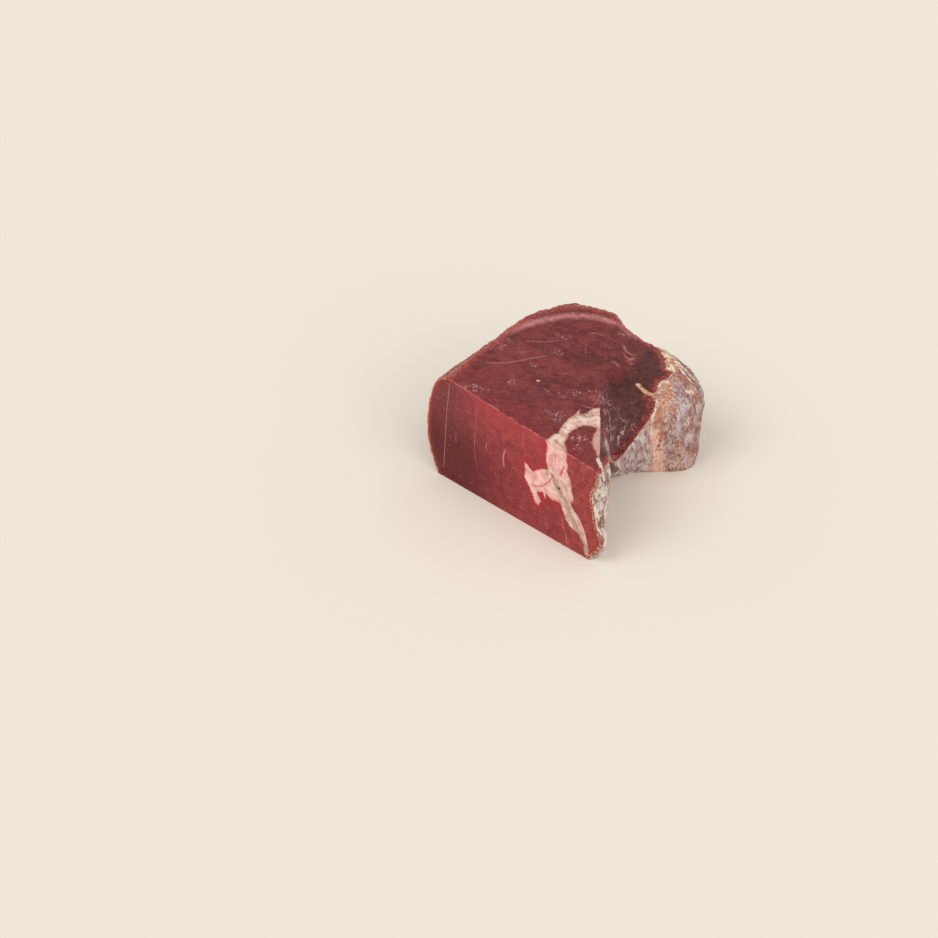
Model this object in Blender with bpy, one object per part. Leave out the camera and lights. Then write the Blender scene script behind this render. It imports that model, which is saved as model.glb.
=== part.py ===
"""A cut block of cecina, air-dried cured beef, as one closed solid.

The block is the rest of a whole muscle after slices were cut from its front. Its front and its top are
knife cuts. The left, the back and the right keep the muscle's own rounded, dried skin, and a deep crease
at the right parts the front lobe from the rear lobe. Sizes are in millimetres in the block's own plan,
where the front cut is the line y = 0, its lower right end is x = 0, and +z is up. The mesh is in metres,
with its origin under the middle of the block.
"""

import math

import bpy
import numpy as np
from mathutils import Vector, noise
from mathutils.geometry import delaunay_2d_cdt

MM = 0.001
NAME = "cecina_block"

# Driving sizes of the top cut: its height at the front right corner, and how it rises to the left and falls to the back
TOP_HEIGHT = 66.3
TOP_RISE_LEFT = 0.076
TOP_FALL_BACK = 0.02
FRONT_RIGHT_X = 7.0

# The rear lobe's own top, and the hollow where it runs down into the crease
LOBE_HEIGHT = 62.3
CREASE_AT = (-33.0, 54.0)
CREASE_DEPTH = 37.0
CREASE_FLOOR = 6.0
CREASE_SPREAD = 19.5
STEP_EDGES = (-2.5, 4.5)
STEP_EASE = 30.0
STEP_ROWS = 5
STEP_STEEP = 36.0

# The step between the two lobes' tops: it passes outside the front lobe, enters at the crease and ends at the back notch
STEP_LINE = (
    (30, -10),
    (17, 12),
    (5, 22),
    (-9, 34),
    (-22, 46),
    (-31, 53),
    (-39, 59),
    (-46, 67),
    (-54, 86),
    (-61, 105),
    (-73, 120),
    (-86, 132),
    (-97, 146),
)

# Widest outline, from the front cut's right end round the back to its left end.
# Each station has x, y, how far the foot and the top edge lie inside it, and the share of the height where it is widest.
STATIONS = {
    "front_right": (7, 0, 7, 0, 0.97),
    "right_toe": (5, 8, 2.5, 4, 0.9),
    "right_flank": (1, 17, 1, 6.5, 0.84),
    "right_middle": (-13, 29, 4, 3.5, 0.88),
    "crease_lip": (-26, 41, 4, 1.5, 0.9),
    "crease_front": (-33.5, 48.5, 6, 1, 0.9),
    "crease": (-34.5, 55, 8, 1, 0.9),
    "crease_rear": (-32.5, 62.5, 12, 1, 0.9),
    "lobe_overhang": (-24, 74, 17, 1, 0.9),
    "lobe_front": (-19, 85, 15, 5, 0.85),
    "lobe_right": (-15, 98, 9, 13, 0.74),
    "lobe_widest": (-13, 113, 1, 18, 0.72),
    "lobe_tip": (-16, 127, 2, 18, 0.68),
    "lobe_back": (-31, 138, 4, 13, 0.66),
    "lobe_end": (-54, 141, 5, 8, 0.62),
    "notch_right": (-71, 137, 6, 6, 0.65),
    "notch": (-83.5, 133.5, 8, 5, 0.7),
    "back_right": (-95.5, 141, 8, 9, 0.65),
    "back": (-115, 140.5, 8, 15, 0.62),
    "back_left": (-133.5, 129, 8, 16, 0.62),
    "left_back": (-138.5, 107, 8, 12, 0.55),
    "left_upper": (-140, 85, 8, 10, 0.5),
    "left_middle": (-137, 55, 8, 11, 0.45),
    "left_front": (-134.5, 25, 9, 13, 0.4),
    "front_left": (-134.4, 0, 9.4, 17, 0.38),
}

# The front lobe's right side swells at its toe and draws in above it, as the front cut's right edge shows
TOE_SWELL = 9.2
TOE_HEIGHT = 15.0
TOE_SPAN = 12.0
TOE_REACH = 16.0
WAIST_DRAW = 3.6
WAIST_HEIGHT = 47.0
WAIST_SPAN = 8.0
WAIST_REACH = 9.0

# Dried skin: folds that run down the sides, lumps on them, and the slight unevenness of the cut top
FOLD_LENGTH = 17.0
FOLD_DEPTH = 1.3
LUMP_SIZE = 9.0
LUMP_DEPTH = 0.9
TOP_WAVE_SIZE = 24.0
TOP_WAVE_DEPTH = 0.7
SKIN_FADE = 7.0

MESH_STEP = 3.9
BOTTOM_STEP = 11.0
FRONT_STEP = 8.0
CURVE_STEPS = 24
CORNER_TURN = 16.0
NORMAL_WINDOW = 14.0


def smooth(low, high, value):
    """0 below low and 1 above high, with an even S between them."""
    share = np.clip((value - low) / (high - low), 0.0, 1.0)
    return share * share * (3.0 - 2.0 * share)


def spline(rows, steps):
    """A Catmull-Rom curve through the rows, with its two ends kept."""
    rows = np.asarray(rows, float)
    padded = np.vstack([2 * rows[0] - rows[1], rows, 2 * rows[-1] - rows[-2]])
    points = []
    for index in range(len(rows) - 1):
        before, start, end, after = padded[index : index + 4]
        for step in range(steps):
            t = step / steps
            bend = 2 * before - 5 * start + 4 * end - after
            cubic = 3 * start - before - 3 * end + after
            points.append(start + 0.5 * ((end - before) * t + bend * t**2 + cubic * t**3))
    return np.vstack([points, rows[-1]])


def along(curve):
    """The distance along a plan curve at each of its points."""
    return np.concatenate([[0.0], np.cumsum(np.hypot(*np.diff(curve[:, :2], axis=0).T))])


def signed_distance(x, y, line):
    """Distance to a line of points, above 0 on the right of its run."""
    nearest = np.full(np.shape(x), 1e9)
    side = np.ones(np.shape(x))
    for (ax, ay), (bx, by) in zip(line[:-1], line[1:]):
        run_x, run_y = bx - ax, by - ay
        share = np.clip(((x - ax) * run_x + (y - ay) * run_y) / (run_x**2 + run_y**2), 0, 1)
        off_x, off_y = x - ax - share * run_x, y - ay - share * run_y
        distance = np.hypot(off_x, off_y)
        closer = distance < nearest
        nearest = np.where(closer, distance, nearest)
        side = np.where(closer, np.where(run_x * off_y - run_y * off_x < 0, 1.0, -1.0), side)
    return nearest * side


def top_height(x, y):
    """The height of the top over a plan point: the cut top, the rear lobe's lower top and the crease."""
    cut = TOP_HEIGHT + TOP_RISE_LEFT * (FRONT_RIGHT_X - x) - TOP_FALL_BACK * y
    from_crease = np.hypot(x - CREASE_AT[0], y - CREASE_AT[1])
    hollow = np.exp(-((np.maximum(0.0, from_crease - CREASE_FLOOR) / CREASE_SPREAD) ** 2))
    lobe = LOBE_HEIGHT - CREASE_DEPTH * hollow
    past_step = signed_distance(x, y, spline(STEP_LINE, 3)) / (1 + from_crease / STEP_EASE)
    return cut + (lobe - cut) * smooth(*STEP_EDGES, past_step)


def step_points(step):
    """Rows of plan points that follow the steep part of the step, and the band that they cover."""
    line = spline(STEP_LINE, 12)
    run = along(line)
    spaced = np.arange(0.0, run[-1], step)
    line = np.array([np.interp(spaced, run, axis) for axis in line.T]).T
    from_crease = np.hypot(*(line - CREASE_AT).T)
    ahead = np.gradient(line, axis=0)
    ahead /= np.hypot(*ahead.T)[:, None]
    right = np.stack([ahead[:, 1], -ahead[:, 0]], axis=1) * (1 + from_crease / STEP_EASE)[:, None]
    steep = from_crease < STEP_STEEP
    offsets = np.linspace(*STEP_EDGES, STEP_ROWS)
    return np.concatenate([(line + right * offset)[steep] for offset in offsets])


def columns(step):
    """The widest outline at even steps: plan points, foot inset, top inset, widest share, inward direction, run."""
    curve = spline(list(STATIONS.values()), CURVE_STEPS)
    run = along(curve)
    spaced = np.linspace(0.0, run[-1], round(run[-1] / step) + 1)
    curve = np.array([np.interp(spaced, run, column) for column in curve.T]).T
    tangent = np.gradient(curve[:, :2], axis=0)
    reach = np.arange(-3 * NORMAL_WINDOW, 3 * NORMAL_WINDOW + step, step)
    weights = np.exp(-((reach / NORMAL_WINDOW) ** 2))
    tangent = np.array(
        [
            np.average(
                [np.interp(place + reach, spaced, tangent[:, axis]) for axis in (0, 1)],
                axis=1,
                weights=weights,
            )
            for place in spaced
        ]
    )
    inward = np.stack([-tangent[:, 1], tangent[:, 0]], axis=1)
    inward /= np.hypot(*inward.T)[:, None]
    at_start = 1 - smooth(0.0, CORNER_TURN, spaced)[:, None]
    at_end = 1 - smooth(0.0, CORNER_TURN, run[-1] - spaced)[:, None]
    inward = inward * (1 - at_start - at_end) + at_start * [-1.0, 0.0] + at_end * [1.0, 0.0]
    inward /= np.hypot(*inward.T)[:, None]
    return curve, inward, spaced


def wall(step):
    """The side as a grid of points, from the foot up to the top edge, row by row."""
    curve, inward, run = columns(step)
    foot, shoulder, widest = curve[:, 2], curve[:, 3], curve[:, 4]
    edge = curve[:, :2] + inward * shoulder[:, None]
    height = top_height(edge[:, 0], edge[:, 1])
    belly = widest * height
    rounding = np.hypot(height - belly, shoulder) * math.pi / math.sqrt(8)
    split = belly / (belly + rounding)
    rows = round(float(height.max()) / step)
    grid = []
    for row in range(rows + 1):
        share = row / rows
        below = np.clip(share / split, 0, 1)
        turn = np.clip((share - split) / (1 - split), 0, 1) * math.pi / 2
        z = belly * below + (height - belly) * np.sin(turn)
        inset = foot * (1 - below) ** 1.6 + shoulder * (1 - np.cos(turn))
        toe = TOE_SWELL * np.exp(-(((z - TOE_HEIGHT) / TOE_SPAN) ** 2)) * (1 - smooth(0, TOE_REACH, run))
        waist = WAIST_DRAW * np.exp(-(((z - WAIST_HEIGHT) / WAIST_SPAN) ** 2)) * (1 - smooth(0, WAIST_REACH, run))
        plan = curve[:, :2] + inward * (inset - toe + waist)[:, None]
        grid.append(np.column_stack([plan, z]))
    return np.array(grid), run


def skin_offset(point, down_share):
    """How far the dried skin stands out at a point: long folds that run down the side, and lumps."""
    folds = noise.noise(Vector((point[0], point[1], point[2] * 0.3)) / FOLD_LENGTH)
    lumps = noise.noise(Vector(point) / LUMP_SIZE + Vector((7.1, 3.3, 1.7)))
    return (FOLD_DEPTH * folds + LUMP_DEPTH * lumps) * down_share


def roughen_wall(grid, run):
    """Gives the side its folds and lumps. They fade out at the foot, at the top edge and at the front cut."""
    rows = len(grid)
    fade_front = smooth(0, SKIN_FADE, run) * smooth(0, SKIN_FADE, run[-1] - run)
    rough = grid.copy()
    for row in range(1, rows - 1):
        tangent = np.gradient(grid[row], axis=0)
        rise = grid[row + 1] - grid[row - 1]
        outward = np.cross(tangent, rise)
        outward /= np.linalg.norm(outward, axis=1)[:, None]
        fade_row = smooth(0, 2 * SKIN_FADE, grid[row][:, 2]) * min(1.0, (rows - 1 - row) / 3)
        for column, point in enumerate(grid[row]):
            lift = skin_offset(point, fade_front[column] * fade_row[column])
            rough[row, column] = point + outward[column] * lift
    return rough


def top_wave(x, y):
    """The slight unevenness of the top away from its edges."""
    return TOP_WAVE_DEPTH * noise.noise(Vector((x / TOP_WAVE_SIZE, y / TOP_WAVE_SIZE, 0.5)))


def edge_fade(x, y, ring):
    """0 on a closed ring and 1 well inside it."""
    closed = np.vstack([ring[:, :2], ring[:1, :2]])
    return smooth(0.0, 2 * SKIN_FADE, np.abs(signed_distance(x, y, closed)))


def inner_points(ring, step, guides=None):
    """Points inside a closed ring and clear of its edge: the guide points, and an even triangle grid around them."""
    low, high = ring.min(axis=0), ring.max(axis=0)
    rise = step * math.sqrt(3) / 2
    grid = [
        (low[0] + step * (column + 0.5 * (row % 2)), low[1] + rise * row)
        for row in range(1, int((high[1] - low[1]) / rise) + 1)
        for column in range(int((high[0] - low[0]) / step) + 1)
    ]
    grid = np.array(grid)
    if guides is not None:
        gaps = np.hypot(*(grid[:, None] - guides[None]).transpose(2, 0, 1)).min(axis=1)
        grid = np.vstack([guides, grid[gaps > 0.6 * step]])
    ends = np.roll(ring, -1, axis=0)
    inside = np.zeros(len(grid), bool)
    for (ax, ay), (bx, by) in zip(ring, ends):
        if ay == by:
            continue
        crosses = (ay > grid[:, 1]) != (by > grid[:, 1])
        inside ^= crosses & (grid[:, 0] < (bx - ax) * (grid[:, 1] - ay) / (by - ay) + ax)
    clear = np.abs(signed_distance(grid[:, 0], grid[:, 1], np.vstack([ring, ring[:1]]))) > 0.6 * step
    return grid[inside & clear]


def fill(ring, inner):
    """Triangles that fill a closed ring of plan points with the inner points, as indices into both."""
    count = len(ring)
    points = [Vector(point) for point in np.vstack([ring, inner])]
    edges = [(index, (index + 1) % count) for index in range(count)]
    _, _, faces, origins, _, _ = delaunay_2d_cdt(points, edges, [], 1, 1e-7)
    return [[origins[corner][0] for corner in face] for face in faces]


def block_mesh():
    """The block's vertices in millimetres and its faces."""
    grid, run = wall(MESH_STEP)
    grid = roughen_wall(grid, run)
    rows, count, _ = grid.shape
    points = [tuple(point) for point in grid.reshape(-1, 3)]
    faces = []
    for row in range(rows - 1):
        for column in range(count - 1):
            low = row * count + column
            faces.append((low, low + 1, low + 1 + count, low + count))

    def add_line(start, end, height_of):
        """Adds the points between two corners of the front cut, and gives their indices."""
        pieces = round(abs(end[0] - start[0]) / FRONT_STEP)
        first = len(points)
        for piece in range(1, pieces):
            x = start[0] + (end[0] - start[0]) * piece / pieces
            points.append((x, 0.0, height_of(x)))
        return list(range(first, len(points)))

    def add_cap(ring, plane, step, place, flip, guides=None):
        """Fills a closed ring of vertices, seen in the given plane, with an even net of triangles."""
        flat = np.array([[points[index][axis] for axis in plane] for index in ring])
        inner = inner_points(flat, step, guides)
        first = len(points)
        points.extend(place(inner, flat))
        index_of = list(ring) + list(range(first, first + len(inner)))
        for face in fill(flat, inner):
            corners = [index_of[corner] for corner in face]
            faces.append(tuple(reversed(corners)) if flip else tuple(corners))

    foot_row = list(range(count))
    top_row = [(rows - 1) * count + column for column in range(count)]
    right_column = [row * count for row in range(rows)]
    left_column = [row * count + count - 1 for row in range(rows)]
    top_line = add_line(grid[-1, -1], grid[-1, 0], lambda x: float(top_height(x, 0.0)))
    foot_line = add_line(grid[0, -1], grid[0, 0], lambda x: 0.0)

    def place_top(inner, ring):
        heights = top_height(inner[:, 0], inner[:, 1])
        fade = edge_fade(inner[:, 0], inner[:, 1], ring)
        waves = np.array([top_wave(x, y) for x, y in inner])
        return [(x, y, z) for (x, y), z in zip(inner, heights + waves * fade)]

    add_cap(top_row + top_line, (0, 1), MESH_STEP, place_top, False, step_points(0.7 * MESH_STEP))
    add_cap(foot_row + foot_line, (0, 1), BOTTOM_STEP, lambda inner, _: [(x, y, 0.0) for x, y in inner], True)
    front = foot_line + right_column + top_line[::-1] + left_column[::-1]
    add_cap(front, (0, 2), FRONT_STEP, lambda inner, _: [(x, 0.0, z) for x, z in inner], False)
    return np.array(points), faces


def meat_material():
    """Deep wine-red cured beef with a dull, dry surface."""
    material = bpy.data.materials.new("cured_beef")
    material.use_nodes = True
    shader = material.node_tree.nodes["Principled BSDF"]
    shader.inputs["Base Color"].default_value = (0.17, 0.030, 0.028, 1.0)
    shader.inputs["Roughness"].default_value = 0.5
    shader.inputs["Metallic"].default_value = 0.0
    return material


def build():
    """Clears the scene and makes the block, with its foot on z = 0 and its box centred on the origin."""
    for old in list(bpy.data.objects):
        bpy.data.objects.remove(old)
    points, faces = block_mesh()
    middle = (points.min(axis=0) + points.max(axis=0)) / 2
    points = (points - [middle[0], middle[1], 0.0]) * MM
    mesh = bpy.data.meshes.new(NAME)
    mesh.from_pydata([tuple(point) for point in points], [], faces)
    mesh.update()
    mesh.shade_smooth()
    mesh.set_sharp_from_angle(angle=math.radians(50))
    mesh.materials.append(meat_material())
    block = bpy.data.objects.new(NAME, mesh)
    bpy.context.scene.collection.objects.link(block)


build()
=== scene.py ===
"""The looks of the cecina block: its fine mesh, cut faces, fat seam and dried skin, and the studio.

Sizes are in millimetres in the block's own plan, as in part.py: the front cut is the line y = 0, its lower
right end is x = 0, and +z is up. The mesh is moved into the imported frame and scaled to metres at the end.
"""

import math
import bpy
import numpy as np
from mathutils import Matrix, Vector, kdtree, noise
from mathutils.geometry import delaunay_2d_cdt


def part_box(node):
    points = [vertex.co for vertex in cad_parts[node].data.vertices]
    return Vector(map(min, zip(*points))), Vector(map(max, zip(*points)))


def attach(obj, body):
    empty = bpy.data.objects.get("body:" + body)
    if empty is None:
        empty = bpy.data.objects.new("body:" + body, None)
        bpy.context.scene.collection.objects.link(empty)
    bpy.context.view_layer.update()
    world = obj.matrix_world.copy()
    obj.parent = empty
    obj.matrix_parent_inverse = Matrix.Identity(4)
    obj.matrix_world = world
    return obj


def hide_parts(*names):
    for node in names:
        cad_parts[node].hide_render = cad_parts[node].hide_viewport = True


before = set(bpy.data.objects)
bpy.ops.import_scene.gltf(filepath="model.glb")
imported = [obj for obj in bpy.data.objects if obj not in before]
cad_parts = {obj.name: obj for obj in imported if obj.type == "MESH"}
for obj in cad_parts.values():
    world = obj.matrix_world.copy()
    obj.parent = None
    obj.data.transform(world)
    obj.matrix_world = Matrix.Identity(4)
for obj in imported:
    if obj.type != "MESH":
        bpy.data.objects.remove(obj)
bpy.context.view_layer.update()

MM = 0.001
NODE = "cecina_block"

# The form, from the same named sizes as the solid
TOP_HEIGHT = 66.3
TOP_RISE_LEFT = 0.076
TOP_FALL_BACK = 0.02
FRONT_RIGHT_X = 7.0
LOBE_HEIGHT = 62.3
CREASE_AT = (-33.0, 54.0)
CREASE_DEPTH = 37.0
CREASE_FLOOR = 6.0
CREASE_SPREAD = 19.5
STEP_EDGES = (-2.5, 4.5)
STEP_EASE = 30.0
STEP_ROWS = 26
STEP_STEEP = 36.0
STEP_LINE = (
    (30, -10),
    (17, 12),
    (5, 22),
    (-9, 34),
    (-22, 46),
    (-31, 53),
    (-39, 59),
    (-46, 67),
    (-54, 86),
    (-61, 105),
    (-73, 120),
    (-86, 132),
    (-97, 146),
)
STATIONS = {
    "front_right": (7, 0, 7, 0, 0.97),
    "right_toe": (5, 8, 2.5, 4, 0.9),
    "right_flank": (1, 17, 1, 6.5, 0.84),
    "right_middle": (-13, 29, 4, 3.5, 0.88),
    "crease_lip": (-26, 41, 4, 1.5, 0.9),
    "crease_front": (-33.5, 48.5, 6, 1, 0.9),
    "crease": (-34.5, 55, 8, 1, 0.9),
    "crease_rear": (-32.5, 62.5, 12, 1, 0.9),
    "lobe_overhang": (-24, 74, 17, 1, 0.9),
    "lobe_front": (-19, 85, 15, 5, 0.85),
    "lobe_right": (-15, 98, 9, 13, 0.74),
    "lobe_widest": (-13, 113, 1, 18, 0.72),
    "lobe_tip": (-16, 127, 2, 18, 0.68),
    "lobe_back": (-31, 138, 4, 13, 0.66),
    "lobe_end": (-54, 141, 5, 8, 0.62),
    "notch_right": (-71, 137, 6, 6, 0.65),
    "notch": (-83.5, 133.5, 8, 5, 0.7),
    "back_right": (-95.5, 141, 8, 9, 0.65),
    "back": (-115, 140.5, 8, 15, 0.62),
    "back_left": (-133.5, 129, 8, 16, 0.62),
    "left_back": (-138.5, 107, 8, 12, 0.55),
    "left_upper": (-140, 85, 8, 10, 0.5),
    "left_middle": (-137, 55, 8, 11, 0.45),
    "left_front": (-134.5, 25, 9, 13, 0.4),
    "front_left": (-134.4, 0, 9.4, 17, 0.38),
}
TOE_SWELL = 9.2
TOE_HEIGHT = 15.0
TOE_SPAN = 12.0
TOE_REACH = 16.0
WAIST_DRAW = 3.6
WAIST_HEIGHT = 47.0
WAIST_SPAN = 8.0
WAIST_REACH = 9.0
FOLD_LENGTH = 17.0
FOLD_DEPTH = 1.3
FOLD_STRETCH = 0.3
LUMP_SIZE = 9.0
LUMP_DEPTH = 0.9
LUMP_SHIFT = (7.1, 3.3, 1.7)
TOP_WAVE_SIZE = 24.0
TOP_WAVE_DEPTH = 0.7
SKIN_FADE = 7.0
FOOT_CURVE = 1.6
CURVE_STEPS = 24
CORNER_TURN = 16.0
NORMAL_WINDOW = 14.0

# The fine mesh
SIDE_STEP = 0.95
TOP_STEP = 0.82
FRONT_STEP = 0.8
BOTTOM_STEP = 4.0
# Inner points keep this share of a step from the edge and from each other
POINT_GAP = 0.6

# The fat seam where the front cut shows it, as (x, z), and where the top shows it, as (x, y)
FAT_FRONT = (
    (-34.5, 70), (-33.5, 64.5), (-34, 55.5), (-33, 52.5), (-31.5, 49.5), (-37, 47.5), (-41, 44.5),
    (-45, 41.5), (-47.5, 43), (-51, 46), (-50.5, 40), (-51, 34.5), (-48, 31), (-45.5, 27.5),
    (-43.5, 23.5), (-42, 20.5), (-39.5, 19.5), (-37.5, 23), (-39.5, 26), (-41, 28.5), (-38, 30.5),
    (-36, 30.5), (-34, 27.5), (-33.5, 31.5), (-30, 29.5), (-26, 30), (-22.5, 30.5), (-20.5, 28),
    (-17.5, 20.5), (-15, 18), (-12.5, 16.5), (-8.5, 16), (-6, 14.5), (-3, 11), (-2, 7), (-1.5, 3.5),
    (0, 1.5), (1.5, 5.5), (0.5, 10.5), (-2.5, 19.5), (-6.5, 26), (-10, 29), (-12.5, 31.5),
    (-14, 34), (-11.5, 38), (-13.5, 42), (-14, 47.5), (-15.5, 52), (-18, 55), (-17.5, 59.5),
    (-18.5, 63), (-18.5, 70),
)
FAT_TOP = (
    (-35, -1), (-35, 3.5), (-35.5, 7.5), (-34.5, 10.5), (-37.5, 17), (-39.5, 22.5), (-40.5, 26),
    (-40.5, 30.5), (-42.5, 39), (-39, 34.5), (-38, 38), (-37, 44), (-35.5, 49), (-31, 46),
    (-27.5, 42.5), (-21.5, 35.5), (-16, 29), (-9.5, 21), (-5.5, 15.5), (-3, 10.5), (-8, 14.5),
    (-13, 17), (-17, 21.5), (-20, 26.5), (-22, 31.5), (-25, 31.5), (-28, 30), (-30, 28),
    (-30.5, 24), (-31, 19), (-29.5, 13.5), (-27, 9.5), (-26, 6), (-21.5, 3), (-18.5, -1),
)
# The run of the seam's grey, dry core on the front cut
SEAM_CORE = ((-29, 47), (-25, 40.5), (-20.5, 36.5), (-17, 30), (-14, 24), (-9, 19), (-4, 12), (-1, 4))
SEAM_PIT = (-24.0, 39.5)
TOP_PIT = (-36.0, 38.0)

# Thin lines: points, width and how strongly they show. Front lines are (x, z), top lines are (x, y).
FRONT_LINES = {
    "left_fascia": (((-114, 76), (-115.5, 62), (-117, 50), (-118, 36), (-119, 21), (-120, 6)), 0.75, 0.62),
    "second_fascia": (((-91.5, 66), (-91.5, 60), (-92.5, 49), (-93, 37), (-92, 26), (-90.5, 20)), 0.6, 0.42),
    "right_fascia": (((-21, 22), (-19, 13.5), (-16.5, 7.5), (-15, 0)), 0.8, 0.55),
    "middle_streak": (((-67, 48), (-68.8, 40.5), (-68, 32)), 1.5, 0.85),
    "short_streak": (((-83, 45), (-83, 37.5)), 1.1, 0.55),
    "left_streak": (((-109.3, 40), (-109, 31)), 1.3, 0.3),
    "upper_streak": (((-53, 68), (-52.5, 54)), 0.9, 0.4),
}
FAT_VEINS = {
    "arc_vein": (((-47, 31.5), (-40, 33), (-33.5, 38.5), (-29.5, 44.5), (-27.5, 50)), 1.5, 0.75),
    "upright_vein": (((-27, 66), (-27, 59), (-26.5, 53)), 1.0, 0.6),
    "pocket_vein": (((-23.5, 59), (-20.5, 57.5), (-22, 52), (-23, 48)), 1.9, 0.95),
}
TOP_LINES = {
    "long_line": (
        ((-115.5, 31), (-111.5, 31.5), (-108, 35.5), (-104.5, 40), (-101, 47), (-97, 57), (-93, 65)),
        1.3,
        0.68,
    ),
    "rear_line": (((-114, 65), (-108, 72), (-102.5, 78), (-99, 84)), 1.2, 0.55),
    "far_line": (((-92, 102), (-89.5, 107), (-84, 109)), 1.3, 0.6),
    "cross_line": (((-86, 94), (-81.5, 88), (-76.5, 84)), 0.8, 0.4),
    "small_dash": (((-71.5, 38), (-66, 37.5)), 0.9, 0.8),
    "second_dash": (((-72.5, 56), (-72.5, 61)), 0.8, 0.6),
    "rear_dash": (((-100, 96), (-95, 89)), 0.8, 0.45),
    "curl_one": (((-71.5, 112.5), (-66, 108.3), (-62.8, 108.8), (-61, 111), (-60.8, 115.5)), 2.1, 0.8),
    "curl_two": (((-65, 105), (-61, 103.5), (-58.8, 105), (-58.8, 110.5)), 2.1, 0.85),
    "curl_three": (((-60, 101), (-56.4, 102), (-55, 104.5)), 1.6, 0.6),
    "seam_wisp": (((-46, 42.5), (-41.5, 43.5), (-37, 45.5), (-32, 47)), 1.2, 0.7),
    "seam_hair": (((-39.5, 45), (-40.5, 52), (-46, 63)), 1.0, 0.55),
}
# Clusters of white crystals on the top, which also stand for painted glints: x, y and radius
CRYSTALS_AND_GLINTS = (
    (-59.5, 42.5, 3.2), (-56.5, 49, 3.2), (-49.5, 51, 4.5), (-44, 53.5, 3.5), (-47, 60, 4.5),
    (-92, 72.5, 4.5), (-91.5, 51.5, 2.6), (-108, 56.5, 3.6), (-122, 45.5, 2.4), (-91, 31, 3.5),
    (-118.5, 50, 3.5), (-121, 58.5, 3.0), (-103.5, 3.5, 3.4), (-99, 6.5, 3.6), (-94, 9.5, 2.8),
    (-47, 24, 5.5), (-52, 22, 3.5), (-22, 17, 6.0), (-17, 9, 3.5), (-36, 40, 4.0), (-101, 88, 4.0),
    (-80, 121, 3.5), (-87, 27, 3.0), (-60, 92, 3.0),
)
CRYSTAL_AND_GLINT_SPREAD = 1.3
# One pale crumb that lies on the top: x, y and radius
CRUMB = (-78.5, 41.0, 1.6)
# A pale membrane band along the back and left edges of the top, drawn lighter with a painted sheen
MEMBRANE_SHEEN_BAND = (
    (-119, 4), (-123.5, 18.5), (-127, 40), (-128.5, 60), (-126, 75), (-122, 90), (-116.5, 103.5), (-110, 114),
    (-102, 120.5), (-93, 124.5), (-86, 128), (-78, 128),
)
DARK_AREA = (
    (-33, 51), (-40, 57), (-47, 66), (-50, 73), (-52, 80), (-53.5, 90), (-54.5, 99), (-57, 109),
    (-60, 117), (-66, 127), (-56, 132), (-46, 128), (-38, 120), (-30, 116), (-28, 104), (-26, 95),
    (-20, 88), (-16, 76), (-22, 62), (-14, 48), (0, 32), (10, 14), (5, 9), (-2, 12), (-7.5, 18),
    (-13.5, 25.5), (-20, 33), (-27, 41),
)
# Where the cut top ends and the dried skin begins, from the front right corner round to the back notch
SKIN_EDGE = (
    (7.2, 0), (6.8, 3), (4, 9), (2, 15), (-4, 25), (-15, 36), (-26, 47), (-31.5, 55), (-31.5, 59),
    (-30, 63), (-26.5, 68.5), (-22.5, 75), (-20.5, 81), (-21.5, 87), (-25, 89.5), (-29.7, 91.4),
    (-28.8, 95), (-32.3, 100.6), (-33.6, 105), (-32, 110), (-34, 116.5), (-39.5, 117.5),
    (-43.6, 121.2), (-47.8, 126.2), (-53, 129), (-58.5, 132.5), (-66, 139),
)
CREAM_PATCH = (
    (-55, 130), (-50.8, 128.2), (-46.6, 126.2), (-45.7, 123), (-43.7, 122.7), (-40.7, 121.2), (-40, 116.5),
    (-36.5, 117.4), (-33.5, 118.5), (-33, 122.5), (-40.5, 128.5), (-48, 132),
)
# Patches of the rear lobe's skin: x, y, z and radius
LILAC_SPOTS = (
    (-24, 108.3, 61, 5), (-18.5, 107.3, 57, 5.5), (-14.6, 107.3, 51, 5), (-14.2, 102, 47, 4.5),
    (-13.4, 102, 40, 5), (-14.5, 100.5, 35, 4.5), (-12, 118, 40, 5), (-16, 96, 22, 4.5),
    (-14, 112, 24, 5), (-20, 128, 50, 5),
)
ORANGE_SPOTS = (
    (-32, 100, 62, 4.5), (-31, 107, 62.8, 4.5), (-27, 104, 62, 4.5), (-22, 99, 60, 5), (-20, 92, 57, 5),
    (-19.5, 87, 52, 4.5), (-20, 86, 45, 4), (-24, 87, 56.5, 3.5), (-17, 97, 52, 4), (-19, 90, 36, 4),
    (-13, 122, 30, 5), (-40, 138, 50, 6), (-16, 118, 57, 4.5),
)
RED_SPOTS = (
    (-29, 119.5, 62, 6), (-24, 118, 60.5, 5), (-22, 123, 59, 4), (-14, 118, 53, 4.5), (-31, 131, 56, 6),
    (-15, 96, 33, 3), (-14, 104, 24, 4), (-13, 117, 14, 5), (-36, 137, 40, 7), (-20, 131, 30, 6),
)
# Two leaning strips of the skin by the crease: their reach along y, and the height where they end
SALMON_STRIP = (94.5, 101.5, 44.0)
GREY_STRIP = (66.0, 94.0, 44.0)
STRIP_LEAN = 0.3
STRIP_FROM_X = (-60.0, -45.0)
# The dark cut face on the front lobe's flank: how far down it runs, and between which y it lies
FLANK_CUT = 22.0
FLANK_START = (12.0, 32.0)
FLANK_END = (52.0, 60.0)
FLANK_FROM_X = -60.0
FLANK_WAVE = 0.7
FLANK_WAVE_SIZE = 8.0
# Where the grey bloom of the skin begins, along x, and how that edge leans with y
BLOOM_FROM_X = (-96.0, -44.0)
BLOOM_LEAN = 0.12
BLOOM_MIDDLE_Y = 60.0
# The brown hollow where the crease meets the rear lobe
POCKET = ((-34, 60, 20), (-33.5, 64, 15))
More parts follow.
